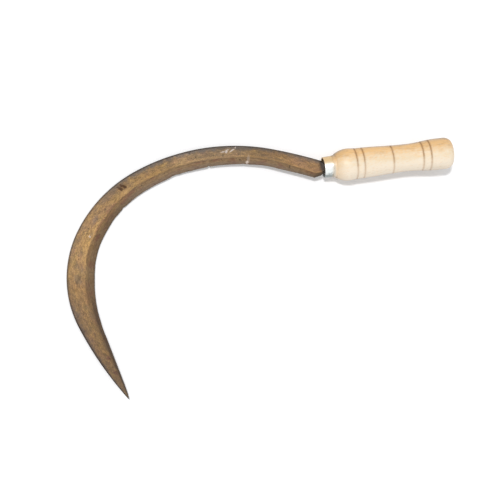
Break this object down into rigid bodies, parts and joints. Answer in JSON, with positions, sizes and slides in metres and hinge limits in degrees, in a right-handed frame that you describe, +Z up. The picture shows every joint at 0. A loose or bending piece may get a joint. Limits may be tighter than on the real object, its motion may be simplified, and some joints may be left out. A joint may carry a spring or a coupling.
{
  "type": "hand sickle",
  "caption": "Hand sickle with a forged crescent blade, a tapered steel ferrule and a turned wooden handle with burnt grooves.",
  "frame": {"origin": "middle of the bottom of the box round the tool as it lies on its side on flat ground", "axes": "+X along the handle seen from above, from the blade towards the butt; +Y towards the crown of the blade's spine; +Z up, out of the bevelled face"},
  "size_m": [0.4206, 0.2476, 0.0398],
  "materials": {
    "forged_steel": "forged steel with a matt brown patina, ground along the cutting bevel",
    "zinc_steel": "zinc-plated, satin",
    "turned_wood": "turned pale hardwood, sanded, with burnt grooves"
  },
  "bodies": {
    "root": {"blade": "forged_steel", "ferrule": "zinc_steel", "handle": "turned_wood"}
  },
  "joints": []
}
